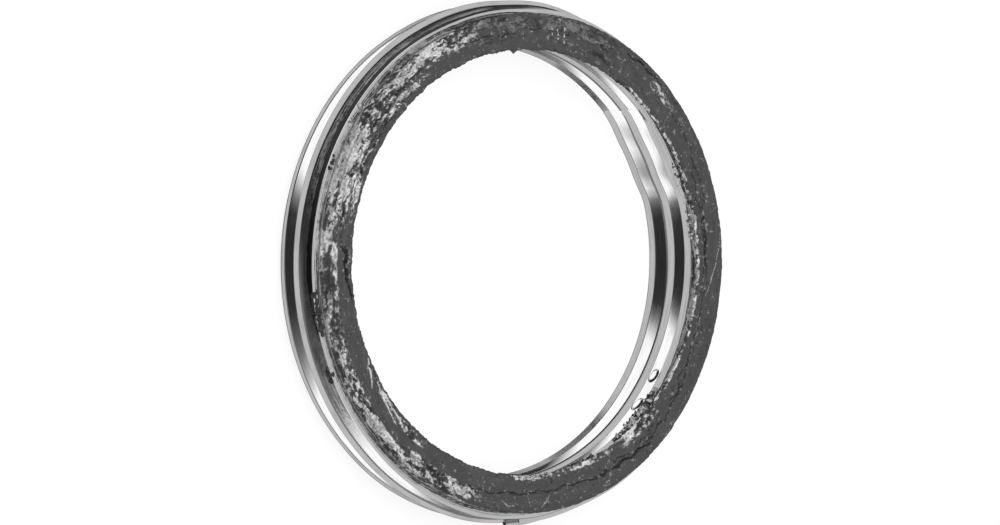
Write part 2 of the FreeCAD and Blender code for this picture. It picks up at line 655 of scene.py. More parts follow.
@dataclass
class GraphiteBody:
    """The wound filler and the soft face in front of the strip, in one object."""

    winding: Winding
    face_height: float = 1.12
    seat_inset: float = 0.06
    back_gap: float = 0.05
    outer_spread: float = 0.05
    outer_lean: float = 0.64
    outer_squash: float = -0.17
    inner_spread: float = 0.90
    inner_lean: float = 0.36
    inner_squash: float = 0.22
    sections: int = 1400
    wall_points: int = 13
    face_points: int = 36
    sink: float = 0.03
    flattened: float = 0.9
    web_step: float = 6.0
    inner_wall_tear: float = 1.05
    outer_wall_tear: float = 0.85
    calm_wall: Point = (50.0, 80.0)
    calm_share: float = 0.5
    web_silver: float = 0.2
    patches: tuple[TornPatch, ...] = tuple(TornPatch(*row) for row in (
        (104.0, 172.0, 0.92, 0.44, 0.95), (172.0, 205.0, 1.00, 0.26, 0.80), (122.0, 168.0, 0.36, 0.13, 0.62),
        (58.0, 106.0, 0.66, 0.50, 0.66), (205.0, 250.0, 1.0, 0.18, 0.85), (232.0, 258.0, 0.74, 0.20, 0.66),
        (214.0, 222.0, 0.20, 0.14, 0.70), (224.0, 236.0, 0.24, 0.14, 0.74), (158.0, 170.0, 0.24, 0.10, 0.80),
        (38.0, 52.0, 0.66, 0.14, 0.50), (-58.0, 62.0, 0.0, 0.07, 1.10), (-95.0, -56.0, 0.04, 0.12, 0.62),
        (-56.0, -40.0, 0.16, 0.16, 0.70),
    ))
    cracks: tuple[Crack, ...] = tuple(Crack(*row) for row in (
        (-67.0, -44.0, 0.53, 0.68, 0.11, 0.22, 0.14), (-50.0, -24.0, 0.70, 0.40, 0.08, 0.16, 0.14),
        (-90.0, -54.0, 0.42, 0.56, 0.07, 0.12, 0.10), (-60.0, -46.0, 0.44, 0.60, 0.06, 0.12, 0.20),
        (-38.0, -28.0, 0.42, 0.56, 0.06, 0.12, 0.20), (-32.0, -6.0, 0.34, 0.27, 0.07, 0.10, 0.14),
        (-4.0, 17.0, 0.34, 0.38, 0.10, 0.18, 0.07), (-9.0, 26.0, 0.24, 0.32, 0.06, 0.10, 0.10),
        (14.0, 40.0, 0.50, 0.62, 0.05, 0.08, 0.12), (-110.0, -84.0, 0.60, 0.46, 0.06, 0.12, 0.10),
        (60.0, 72.0, 0.70, 0.60, 0.05, 0.10, 0.12), (76.0, 90.0, 0.52, 0.60, 0.05, 0.10, 0.12),
        (92.0, 112.0, 0.44, 0.56, 0.06, 0.12, 0.14), (44.0, 58.0, 0.86, 0.84, 0.10, 0.16, 0.10),
        (144.0, 155.0, 0.40, 0.47, 0.10, 0.16, 0.08), (118.0, 150.0, 0.62, 0.56, 0.06, 0.14, 0.16),
        (128.0, 168.0, 0.26, 0.30, 0.06, 0.12, 0.12), (150.0, 176.0, 0.66, 0.60, 0.05, 0.10, 0.16),
        (176.0, 185.0, 0.36, 0.30, 0.22, 0.32, 0.16), (181.0, 190.0, 0.30, 0.20, 0.14, 0.26, 0.16),
        (176.0, 178.4, 0.60, 0.30, 0.16, 0.16, 0.10), (206.0, 216.0, 0.10, 0.24, 0.07, 0.10, 0.14),
        (230.0, 248.0, 0.74, 0.60, 0.06, 0.10, 0.18),
    ))
    scratches: tuple[Crack, ...] = tuple(Crack(*row) for row in (
        (-8.6, 6.4, 0.40, 0.95, 0.05, 0.55, 0.03), (38.0, 39.4, 0.20, 0.75, 0.10, 0.4, 0.05),
        (42.0, 43.0, 0.30, 0.70, 0.08, 0.35, 0.05), (46.0, 47.4, 0.70, 0.25, 0.10, 0.4, 0.05),
        (77.0, 77.8, 0.25, 0.78, 0.20, 0.9, 0.05), (79.0, 79.9, 0.30, 0.72, 0.20, 0.8, 0.05),
        (81.0, 81.7, 0.34, 0.70, 0.16, 0.7, 0.05), (-64.0, -60.0, 0.80, 0.40, 0.08, 0.35, 0.10),
        (-84.0, -81.0, 0.90, 0.55, 0.12, 0.5, 0.10), (-88.0, -87.0, 0.56, 0.86, 0.12, 0.5, 0.10),
        (-96.0, -92.0, 0.70, 0.82, 0.07, 0.5, 0.10), (206.0, 214.0, 0.08, 0.46, 0.12, 0.7, 0.05),
        (213.0, 226.0, 0.12, 0.44, 0.10, 0.7, 0.05), (218.0, 227.0, 0.10, 0.26, 0.12, 0.7, 0.06),
    ))
    dull: tuple[tuple[float, float, float], ...] = ((54.0, 106.0, 0.16), (168.0, 204.0, 0.55), (204.0, 262.0, 0.90))
    dull_fade: float = 5.0
    scrap_angle: float = 93.5
    scrap_reach: float = 1.5
    scrap_length: float = 0.34
    relief: tuple[Streaks, ...] = tuple(Streaks(*row) for row in (
        (0.0, 3.4, 1.7, 5), (9.0, 1.6, 4.4, 3), (80.0, 1.8, 0.7, 2), (40.0, 3.2, 1.1, 5), (60.0, 2.4, 1.4, 4)))
    edge_relief: tuple[Streaks, ...] = (Streaks(0.0, 1.0, 0.5, 3), Streaks(0.0, 1.0, 3.2, 3))
    edge_waves: float = 0.05
    edge_grain: float = 0.045
    inner_raggedness: float = 1.7
    ragged_fade: Point = (0.30, 0.56)
    crease_width: float = 0.11
    dust_shine: float = 0.45
    broken_shine: float = 0.28
    scratch_shine: float = 0.6
    lump_rise: float = 0.16
    grain_rise: float = 0.04
    crease_depth: float = 0.10
    torn_sink: float = 0.05
    roll_depth: float = 0.10
    roll_width: float = 0.22
    face_waves: float = 0.016
    broken_grain: float = 0.02
    side_push: float = 0.03
    wall_lumps: float = 0.13
    wall_crease: float = 0.08
    wall_grain: float = 0.05
    wall_fade: Point = (0.75, 1.0)
    rag_level: float = 0.8
    silver_fade: Point = (-0.34, 0.40)
    fleck_fade: Point = (0.10, 0.45)
    hollow_fade: Point = (0.20, 0.50)
    dust_starts: Point = (0.12, 0.40)
    dust_fade: Point = (-0.15, 0.45)
    # painted shade: how far creases dull the silver, how dark creases, hollows, cracks and crumbled grains are
    # painted, and the share of it that the walls keep
    crease_painted_shade_dulling: float = 0.75
    crease_painted_shade: float = 0.7
    hollow_painted_shade: float = 0.75
    crack_painted_shade: float = 0.9
    broken_painted_shade: float = 0.2
    wall_painted_shade_share: float = 0.5

    def seat_radii(self) -> Point:
        """Inner and outer radius of the soft face where it meets the strip.

        Returns:
            The two radii in millimetres.
        """
        radii = self.winding.radii()
        profile = self.winding.profile
        inner = radii[self.winding.inner_turns] + profile.outer_line()[-1][1] + self.seat_inset
        outer = radii[self.winding.inner_turns + self.winding.filled_gaps] + profile.front_edge_step - self.seat_inset
        return inner, outer

    def face_radii(self, angle: float) -> Point:
        """Inner and outer radius of the face's edges.

        Args:
            angle: Degrees about Z.

        Returns:
            The two radii in millimetres, before the edges are torn.
        """
        inner, outer = self.seat_radii()
        turn = math.radians(angle)
        inner += -self.inner_spread + self.inner_lean * math.cos(turn) + self.inner_squash * math.cos(2.0 * turn)
        outer += self.outer_spread + self.outer_lean * math.cos(turn) + self.outer_squash * math.cos(2.0 * turn)
        return inner, outer

    def torn(self, angle: float, across: float) -> float:
        """How torn the graphite is, from 0 to 1.

        Args:
            angle: Degrees about Z.
            across: Share of the way over the face, below 0 or above 1 on the walls.

        Returns:
            The largest of the patches there, and the walls' own roughness.
        """
        clamped = min(1.0, max(0.0, across))
        most = max(patch.amount(angle, clamped) for patch in self.patches)
        if across < 0.0:
            calm = self.calm_share * smooth(*self.calm_wall, abs(angle_gap(angle, 0.0)))
            most = max(most, self.inner_wall_tear - calm)
        if across > 1.0:
            most = max(most, self.outer_wall_tear)
        return most

    def shine(self, angle: float) -> float:
        """How silvery the torn graphite is at an angle, as a share of the most.

        Args:
            angle: Degrees about Z.

        Returns:
            The share, from 0 to 1.
        """
        share = 1.0
        for start, end, level in self.dull:
            inside = 1.0 - smooth(-self.dull_fade, self.dull_fade, beyond(angle, start, end))
            share *= 1.0 - (1.0 - level) * inside
        return share

    def edge_tear(self, angle: float, seed: float) -> float:
        """Millimetres to add to a torn edge's radius at an angle; the seed sets one edge apart from another."""
        coarse, fine = (streaks.at(angle, seed) for streaks in self.edge_relief)
        return coarse * self.edge_waves + fine * self.edge_grain

    def face_section(self, angle: float) -> tuple[list[Place], list[float], list[float]]:
        """One section across the soft face.

        Args:
            angle: Degrees about Z.

        Returns:
            The places in metres, how silvery each is, and how much painted shade each has.
        """
        seat_inner, seat_outer = self.seat_radii()
        pressed = self.winding.at_stops(self.winding.pressed_in, angle)
        seat_outer += self.winding.at_stops(self.winding.out_of_round, angle) + pressed
        inner, outer = self.face_radii(angle)
        outer += 0.5 * pressed
        inner += self.inner_raggedness * self.edge_tear(angle, 2.0)
        inner -= self.scrap_length * max(0.0, 1.0 - abs(angle - self.scrap_angle) / self.scrap_reach)
        outer += self.edge_tear(angle, 31.0)
        bottom = self.winding.profile.height - self.sink
        top = self.winding.profile.height + self.face_height
        walls = [step / self.wall_points for step in range(self.wall_points + 1)]
        face = [step / self.face_points for step in range(self.face_points + 1)]
        base = [(seat_inner + (inner - seat_inner) * share, bottom + (top - bottom) * share, share - 1.0)
                for share in walls[:-1]]
        base += [(inner + (outer - inner) * share, top, share) for share in face]
        base += [(outer + (seat_outer - outer) * share, top + (bottom - top) * share, 1.0 + share)
                 for share in walls[1:]]
        places, silvers, painted_shades = zip(*(self.shaped(angle, *point, outer - inner) for point in base))
        return list(places), list(silvers), list(painted_shades)

    def shaped(self, angle: float, radius: float, height: float, across: float,
               face_width: float) -> tuple[Place, float, float]:
        """Moves one point of the smooth section to its torn place.

        Args:
            angle: Degrees about Z.
            radius: Radius in millimetres.
            height: Height in millimetres.
            across: Share of the way over the face, below 0 or above 1 on the walls.
            face_width: Width of the face in millimetres.

        Returns:
            The place in metres, how silvery it is, and how much painted shade it has.
        """
        on_wall = max(0.0, -across) + max(0.0, across - 1.0)
        side = 1.0 if across > 1.0 else -1.0
        travel = min(1.0, max(0.0, across)) * face_width + side * on_wall * self.face_height
        lumps, grains, sheets, rags, creases = (streaks.at(angle, travel) for streaks in self.relief)
        tear = self.torn(angle, across)
        ragged = smooth(*self.ragged_fade, tear * (self.rag_level + self.rag_level * rags))
        crease = 1.0 - smooth(0.0, self.crease_width, abs(creases))
        silver = ragged * smooth(*self.silver_fade, 0.6 * sheets + 0.5 * lumps + 0.6 * grains)
        # painted shade: creases lose their silver
        silver *= 1.0 - self.crease_painted_shade_dulling * crease
        dust = smooth(*self.dust_starts, tear) * smooth(*self.dust_fade, grains + 0.4 * lumps)
        silver = max(silver, self.dust_shine * dust * (1.0 - crease))
        silver *= self.shine(angle)
        hollow = smooth(*self.hollow_fade, -0.5 * (sheets + lumps + grains))
        # painted shade in the creases and low hollows of torn graphite
        dark = ragged * max(self.crease_painted_shade * crease, self.hollow_painted_shade * hollow)
        if on_wall == 0.0:
            found = [crack.amount(angle, across, face_width) for crack in self.cracks]
            depth = max(crack[0] for crack in found)
            broken = max(crack[1] for crack in found)
            scratch = max(line.amount(angle, across, face_width)[0] for line in self.scratches)
            flecks = self.broken_shine * broken * smooth(*self.fleck_fade, grains + 0.4 * lumps)
            silver = max(silver, flecks, self.scratch_shine * scratch)
            near_edge = min(across, 1.0 - across) * face_width
            roll = self.roll_depth * (1.0 - smooth(0.0, self.roll_width, near_edge))
            torn_up = self.lump_rise * lumps + self.grain_rise * grains - self.crease_depth * crease - self.torn_sink
            height += ragged * torn_up
            height += self.face_waves * lumps + self.broken_grain * broken * grains - depth - roll
            radius += ragged * self.side_push * grains
            # painted shade in the cracks and in the low grains of the broken graphite beside them
            crumbled_painted_shade = self.broken_painted_shade * broken * smooth(0.1, 0.5, -grains)
            dark = max(dark, self.crack_painted_shade * smooth(0.01, 0.08, depth), crumbled_painted_shade)
        else:
            # the walls keep only a share of the painted shade
            dark *= self.wall_painted_shade_share
            fade = 1.0 - smooth(*self.wall_fade, on_wall)
            push = fade * (self.wall_lumps * lumps + self.grain_rise * grains - self.wall_crease * crease)
            radius += push if across > 1.0 else -0.4 * push
            height += fade * self.wall_grain * grains - self.roll_depth * (1.0 - smooth(0.0, 0.2, on_wall))
        proud = height - self.winding.profile.height - self.face_height
        height -= max(0.0, proud) * self.flattened
        return at_angle(angle, radius, height), silver, dark

    def build(self, finish: GraphiteFinish) -> bpy.types.Object:
        """Builds and dresses the graphite.

        Args:
            finish: Finish of the graphite.

        Returns:
            The graphite's object.
        """
        vertices: list[Place] = []
        silvers: list[float] = []
        painted_shades: list[float] = []
        for index in range(self.sections):
            places, silver, dark = self.face_section(360.0 * index / self.sections)
            vertices += places
            silvers += silver
            painted_shades += dark
        faces = skin(0, self.sections, len(vertices) // self.sections, closed=True)
        self.add_webs(vertices, faces)
        silvers += [self.web_silver] * (len(vertices) - len(silvers))
        painted_shades += [0.0] * (len(vertices) - len(painted_shades))
        piece = make_object("graphite_body", vertices, faces)
        store(piece, "silver", silvers)
        # the 'dark' attribute carries the painted shade
        store(piece, "dark", painted_shades)
        piece.data.materials.append(finish.material())
        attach(piece, "root")
        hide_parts("graphite_filler")
        return piece

    def web_section(self, wound: float) -> list[Place]:
        """Section of the graphite between a layer of the strip and the next one.

        Args:
            wound: Degrees wound since the start of the strip.

        Returns:
            The closed section in metres.
        """
        angle = self.winding.start_angle() - wound
        near = self.winding.radius(wound)
        far = self.winding.radius(wound + 360.0)
        profile = self.winding.profile
        top = profile.height + self.sink
        near_side = [(max(height, self.back_gap), near + step + self.winding.lean(wound, height))
                     for height, step in profile.outer_line()]
        far_side = [(max(height, self.back_gap), far + step + self.winding.lean(wound + 360.0, height))
                    for height, step in profile.inner_line()]
        section = near_side + [(top, near_side[-1][1]), (top, far_side[-1][1])] + far_side[::-1]
        return [at_angle(angle, radius, height) for height, radius in section]

    def add_webs(self, vertices: list[Place], faces: list[Face]) -> None:
        """Adds the graphite that is wound in with the strip.

        Args:
            vertices: List that takes the places.
            faces: List that takes the faces.
        """
        winding = self.winding
        start = winding.layer_start(winding.inner_turns)
        end = winding.layer_start(winding.inner_turns + winding.filled_gaps) - winding.climb_angle
        count = round((end - start) / self.web_step)
        first = len(vertices)
        for index in range(count + 1):
            vertices += self.web_section(start + (end - start) * index / count)
        around = (len(vertices) - first) // (count + 1)
        last = first + count * around
        faces += skin(first, count + 1, around)
        faces.append(tuple(range(first, first + around)))
        faces.append(tuple(range(last + around - 1, last - 1, -1)))


@dataclass(frozen=True)
class CrumbField:
    """Clumps of torn graphite that cling to the ring over one stretch."""

    start: float
    end: float
    radius: float
    radius_spread: float
    height: float
    height_spread: float
    largest: float
    count: int
    silver: float


@dataclass
class Crumbs:
    """Torn graphite crumbs and clumps on the strip's edges."""

    seed: int = 41
    rings: int = 4
    segments: int = 6
    smallest: float = 0.25
    size_bias: float = 1.5
    widths: Point = (0.5, 1.4)
    heights: Point = (0.4, 0.9)
    silvers: Point = (0.2, 2.5)
    bulges: float = 0.6
    sharp_angle: float = 25.0
    fields: tuple[CrumbField, ...] = tuple(CrumbField(*row) for row in (
        (186.5, 197.0, 20.02, 0.16, 4.42, 0.14, 0.60, 100, 0.03),
        (189.0, 194.0, 20.12, 0.08, 4.12, 0.20, 0.46, 40, 0.02),
        (204.6, 208.2, 20.14, 0.10, 4.20, 0.20, 0.60, 80, 0.02),
        (155.0, 158.6, 19.96, 0.14, 4.46, 0.10, 0.42, 26, 0.03),
        (176.8, 179.0, 20.06, 0.04, 3.74, 0.07, 0.24, 18, 0.00),
        (-54.0, -36.0, 17.50, 0.10, 4.78, 0.30, 0.56, 150, 0.20),
        (-49.0, -39.0, 17.52, 0.04, 4.30, 0.26, 0.36, 44, 0.08),
        (-75.0, -64.0, 17.42, 0.14, 5.20, 0.20, 0.60, 60, 0.05),
        (-86.0, -58.0, 17.60, 0.12, 4.90, 0.30, 0.36, 60, 0.20),
        (140.0, 147.0, 19.80, 0.20, 4.56, 0.08, 0.34, 16, 0.20),
        (44.0, 60.0, 20.05, 0.14, 5.36, 0.08, 0.40, 40, 0.10),
        (204.0, 214.0, 17.30, 0.10, 5.38, 0.06, 0.34, 30, 0.10),
        (6.0, 26.0, 17.66, 0.10, 5.00, 0.25, 0.30, 26, 0.30),
    ))

    def build(self, finish: GraphiteFinish) -> bpy.types.Object:
        """Builds all the crumbs as one object.

        Args:
            finish: Finish of the graphite.

        Returns:
            The crumbs' object.
        """
        dice = random.Random(self.seed)
        vertices: list[Place] = []
        faces: list[Face] = []
        silvers: list[float] = []
        for stretch in self.fields:
            for _ in range(stretch.count):
                self.add_crumb(stretch, dice, vertices, faces)
                silvers += [stretch.silver * dice.uniform(*self.silvers)] * (len(vertices) - len(silvers))
        piece = make_object("graphite_crumbs", vertices, faces, self.sharp_angle)
        store(piece, "silver", silvers)
        store(piece, "dark", [max(0.0, 0.6 - 2.0 * silver) for silver in silvers])
        piece.data.materials.append(finish.material())
        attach(piece, "root")
        return piece

    def add_crumb(self, stretch: CrumbField, dice: random.Random, vertices: list[Place], faces: list[Face]) -> None:
        """Adds one crumb with an uneven surface.

        Args:
            stretch: Where it lies and how large it may be.
            dice: Source of its place and size.
            vertices: List that takes the places.
            faces: List that takes the faces.
        """
        middle = (stretch.start + stretch.end) / 2.0
        reach = (stretch.end - stretch.start) / 2.0
        centre = Vector(at_angle(
            middle + reach * dice.uniform(-1.0, 1.0),
            stretch.radius + dice.uniform(-1.0, 1.0) * stretch.radius_spread,
            stretch.height + dice.uniform(-1.0, 1.0) * stretch.height_spread)) / MM
        size = stretch.largest * dice.uniform(self.smallest, 1.0) ** self.size_bias
        stretch_by = Vector((dice.uniform(*self.widths), dice.uniform(*self.widths), dice.uniform(*self.heights)))
        poles = [centre + Vector((0.0, 0.0, way * stretch_by.z * size * 0.5)) for way in (1.0, -1.0)]
        first = len(vertices)
        vertices.append(tuple(poles[0] * MM))
        for ring in range(1, self.rings):
            for segment in range(self.segments):
                polar = math.pi * ring / self.rings
                turn = 2.0 * math.pi * segment / self.segments
                way = Vector((math.sin(polar) * math.cos(turn), math.sin(polar) * math.sin(turn), math.cos(polar)))
                bulge = 1.0 + self.bulges * noise.noise(centre * 5.0 + way * 2.2)
                place = centre + way * stretch_by * (size * 0.5 * bulge)
                vertices.append(tuple(place * MM))
        vertices.append(tuple(poles[1] * MM))
        last = len(vertices) - 1
        for segment in range(self.segments):
            ahead = (segment + 1) % self.segments
            faces.append((first, first + 1 + segment, first + 1 + ahead))
            faces.append((last, last - self.segments + ahead, last - self.segments + segment))
        faces += skin(first + 1, self.rings - 1, self.segments)


class Shader:
    """Small helper that places and joins the nodes of one tree."""

    def __init__(self, tree: bpy.types.NodeTree) -> None:
        """Keeps the node tree to fill."""
        self.tree = tree
        self.column = 0

    def node(self, kind: str, settings: dict[str, object] | None = None, *first: object,
             **inputs: object) -> bpy.types.Node:
        """Adds a node.

        Args:
            kind: Blender's name for the node type.
            settings: Properties of the node.
            *first: Values or sockets for its first inputs, in order.
            **inputs: Values or sockets for its inputs, with underscores for spaces.

        Returns:
            The new node.
        """
        made = self.tree.nodes.new(kind)
        made.location = (self.column * 190, (self.column % 4) * -170)
        self.column += 1
        for name, value in (settings or {}).items():
            setattr(made, name, value)
        for socket, value in zip(made.inputs, first):
            self.feed(socket, value)
        for name, value in inputs.items():
            self.feed(made.inputs[name.replace("_", " ")], value)
        return made

    def feed(self, socket: Socket, value: object) -> None:
        """Gives an input a value or a link.

        Args:
            socket: The input.
            value: A number, a colour or another node's output.
        """
        if isinstance(value, Socket):
            self.tree.links.new(value, socket)
        else:
            socket.default_value = value

    def math(self, operation: str, *values: object) -> Socket:
        """Result of the named operation on up to three values or sockets."""
        return self.node("ShaderNodeMath", {"operation": operation}, *values).outputs[0]

    def ramp(self, value: object, low: float, high: float, to_low: float = 0.0,
             to_high: float = 1.0) -> Socket:
        """Soft change from one result, where the value is low or less, to another, where it is high or more."""
        return self.node("ShaderNodeMapRange", {"interpolation_type": "SMOOTHSTEP"}, Value=value, From_Min=low,
                         From_Max=high, To_Min=to_low, To_Max=to_high).outputs[0]

    def mix(self, share: object, first: object, second: object) -> Socket:
        """Adds a mix of two colours.

        Args:
            share: How much of the second colour.
            first: First colour or socket.
            second: Second colour or socket.

        Returns:
            The result's socket.
        """
        made = self.node("ShaderNodeMix", {"data_type": "RGBA"})
        self.feed(made.inputs[0], share)
        self.feed(made.inputs[6], first)
        self.feed(made.inputs[7], second)
        return made.outputs[2]

    def texture(self, place: Socket, scale: float, detail: object, roughness: float,
                distortion: float = 0.0) -> Socket:
        """Adds a noise texture over a place and returns its strength."""
        return self.node("ShaderNodeTexNoise", Vector=place, Scale=scale, Detail=detail, Roughness=roughness,
                         Distortion=distortion).outputs[0]

    def times(self, first: object, second: object) -> Socket:
        """Product of two values or sockets."""
        return self.math("MULTIPLY", first, second)

    def plus(self, first: object, second: object) -> Socket:
        """Sum of two values or sockets."""
        return self.math("ADD", first, second)

    def away(self, angle: Socket, middle: float) -> Socket:
        """Degrees between the angle of a socket and a middle one, either way."""
        return self.math("ABSOLUTE", self.math("WRAP", self.math("SUBTRACT", angle, middle), 180.0, -180.0))

    def attribute(self, name: str) -> Socket:
        """Reads a number that is kept for each vertex."""
        return self.node("ShaderNodeAttribute", {"attribute_name": name}).outputs["Fac"]


def fresh_material(name: str) -> tuple[bpy.types.Material, Shader]:
    """New material without nodes.

    Args:
        name: Name of the material.

    Returns:
        The material, and the helper that fills it.
    """
    made = bpy.data.materials.new(name)
    made.use_nodes = True
    made.node_tree.nodes.clear()
    return made, Shader(made.node_tree)


def grey(value: float) -> tuple[float, float, float, float]:
    """Neutral colour of the given brightness."""
    return (value, value, value, 1.0)


def ring_grain_group() -> bpy.types.NodeTree:
    """Effect shared by the finishes: fine marks that run round the ring.

    Returns:
        A group with inputs Fineness, Length and Detail and outputs Marks, Blotches, Radius and Angle.
    """
    name = "ring_grain"
    if name in bpy.data.node_groups:
        return bpy.data.node_groups[name]
    group = bpy.data.node_groups.new(name, "ShaderNodeTree")
    for title, start in (("Fineness", 9.0), ("Length", 1.0), ("Detail", 3.0)):
        socket = group.interface.new_socket(title, in_out="INPUT", socket_type="NodeSocketFloat")
        socket.default_value = start
    for title in ("Marks", "Blotches", "Radius", "Angle"):
        group.interface.new_socket(title, in_out="OUTPUT", socket_type="NodeSocketFloat")
    shader = Shader(group)
    given = shader.node("NodeGroupInput")
    place = shader.node("ShaderNodeTexCoord").outputs["Object"]
    parts = shader.node("ShaderNodeSeparateXYZ", Vector=place)
    x, y, z = parts.outputs
    radius = shader.math("SQRT", shader.plus(shader.times(x, x), shader.times(y, y)))
    around_x = shader.math("DIVIDE", x, radius)
    around_y = shader.math("DIVIDE", y, radius)
    stretched = shader.times(given.outputs["Length"], MARKS_ROUND)
    climb = shader.plus(shader.times(z, MARKS_UP), shader.times(radius, MARKS_OUT))
    across = shader.times(climb, given.outputs["Fineness"])
    around = (shader.times(around_x, stretched), shader.times(around_y, stretched))
    stream = shader.node("ShaderNodeCombineXYZ", None, *around, across)
    marks = shader.texture(stream.outputs[0], 1.0, given.outputs["Detail"], 0.6)
    blotches = shader.texture(place, BLOTCHES, 4.0, 0.6)
    angle = shader.math("DEGREES", shader.math("ARCTAN2", y, x))
    shader.node("NodeGroupOutput", None, marks, blotches, radius, angle)
    return group


@dataclass(frozen=True)
class SteelFinish:
    """Bright rolled stainless strip with fine marks along it, and painted reflection streaks and a painted shade line
    on the outer turn's upper wall below its front edge.
    """

    bright: float = 0.80
    dull: float = 0.62
    mark_fade: Point = (0.40, 0.80)
    smoothness: float = 0.09
    coarsest: float = 0.17
    mark_height: float = 0.0000015
    # grey of the painted reflection streaks and the painted shade line under the front lip
    painted_reflection_and_shade_grey: float = 0.045
    burnt: float = 0.13
    # roughness added where that painted reflection and shade lie
    painted_band_roughness: float = 0.32
    outer_turn: Point = (0.01955, 0.01965)
    wall_foot: Point = (0.00285, 0.00315)
    wall_top: Point = (0.00439, 0.00443)
    # angle, near and far reach and strength of each stretch of painted reflection streaks, which stand for the torn
    # graphite seen in the outer turn's upper wall
    painted_reflection_streaks: tuple[tuple[float, float, float, float], ...] = ((140.0, 24.0, 42.0, 1.0), (208.0, 5.0, 22.0, 0.80))
    streaks: tuple[float, float, float, float] = (0.86, 1.16, 0.97, 0.50)
    # middle, near and far reach of the far side, where the painted shade line under the lip starts lower; the next
    # line gives its usual and its lowest start height
    far_side: tuple[float, float, float] = (140.0, 35.0, 75.0)
    line_heights: Point = (0.00428, 0.00362)
    line_waver: float = 0.0004
    line_blur: float = 0.00012

    def material(self) -> bpy.types.Material:
        """Makes the material, or returns the one already made.

        Returns:
            The material.
        """
        name = "rolled_steel"
        if name in bpy.data.materials:
            return bpy.data.materials[name]
        made, shader = fresh_material(name)
        grain = shader.node("ShaderNodeGroup", {"node_tree": ring_grain_group()}, Fineness=7.0, Length=1.6, Detail=4.0)
        marks, blotches, _, _ = grain.outputs
        colour = shader.mix(shader.ramp(marks, *self.mark_fade), grey(self.bright), grey(self.dull))
        # painted reflection and painted shade on the outer turn's upper wall
        painted_reflection_and_shade = self.painted_reflection_and_shade(shader, grain)
        burnt = shader.mix(shader.attribute("tint"), colour, grey(self.burnt))
        # the colour goes to the dark grey where that painted reflection and shade lie
        with_painted_reflection_and_shade = shader.mix(painted_reflection_and_shade, burnt, grey(self.painted_reflection_and_shade_grey))
        clean = shader.ramp(blotches, 0.3, 0.7, self.smoothness, self.coarsest)
        roughness = shader.plus(clean, shader.times(painted_reflection_and_shade, self.painted_band_roughness))
        bump = shader.node("ShaderNodeBump", Strength=0.3, Distance=self.mark_height, Height=marks)
        surface = shader.node("ShaderNodeBsdfPrincipled", Base_Color=with_painted_reflection_and_shade, Metallic=1.0, Roughness=roughness,
                              Normal=bump.outputs[0])
        shader.node("ShaderNodeOutputMaterial", Surface=surface.outputs[0])
        return made

    def painted_reflection_and_shade(self, shader: Shader, grain: bpy.types.Node) -> Socket:
        """Mask of painted light on the outer turn: painted reflection streaks of the graphite on its upper wall and a
        painted shade line under its front lip.

        Args:
            shader: Tree to add to.
            grain: Node with the marks round the ring, which also puts out metres from the axis and degrees about it.

        Returns:
            The mask's socket, from 0 to 1.
        """
        marks, blotches, radius, angle = grain.outputs
        place = shader.node("ShaderNodeTexCoord").outputs["Object"]
        height = shader.node("ShaderNodeSeparateXYZ", Vector=place).outputs[2]
        outside = shader.ramp(radius, *self.outer_turn)
        under_edge = shader.ramp(height, *self.wall_top, 1.0, 0.0)
        wall = shader.times(shader.ramp(height, *self.wall_foot), under_edge)
        turned: object = 0.0
        # painted reflection streaks of the graphite, by angle
        for middle, near, far, level in self.painted_reflection_streaks:
            painted_streak = shader.ramp(shader.away(angle, middle), near, far, level, 0.0)
            turned = shader.math("MAXIMUM", turned, painted_streak)
        speckle = shader.texture(place, 3200.0, 3.0, 0.7)
        uneven = shader.plus(marks, shader.times(shader.plus(blotches, speckle), 0.5))
        painted_streaks = shader.times(turned, shader.ramp(uneven, *self.streaks))
        # painted shade: a dark line under the front lip, reaching further down the wall on the far side
        middle, near, far = self.far_side
        opposite = shader.ramp(shader.away(angle, middle), near, far, 1.0, 0.0)
        wavering = shader.times(shader.math("SUBTRACT", blotches, 0.5), self.line_waver)
        line_start = shader.plus(shader.ramp(opposite, 0.0, 1.0, *self.line_heights), wavering)
        line = shader.ramp(shader.math("SUBTRACT", height, line_start), 0.0, self.line_blur)
        return shader.times(shader.times(outside, wall), shader.math("MAXIMUM", painted_streaks, line))


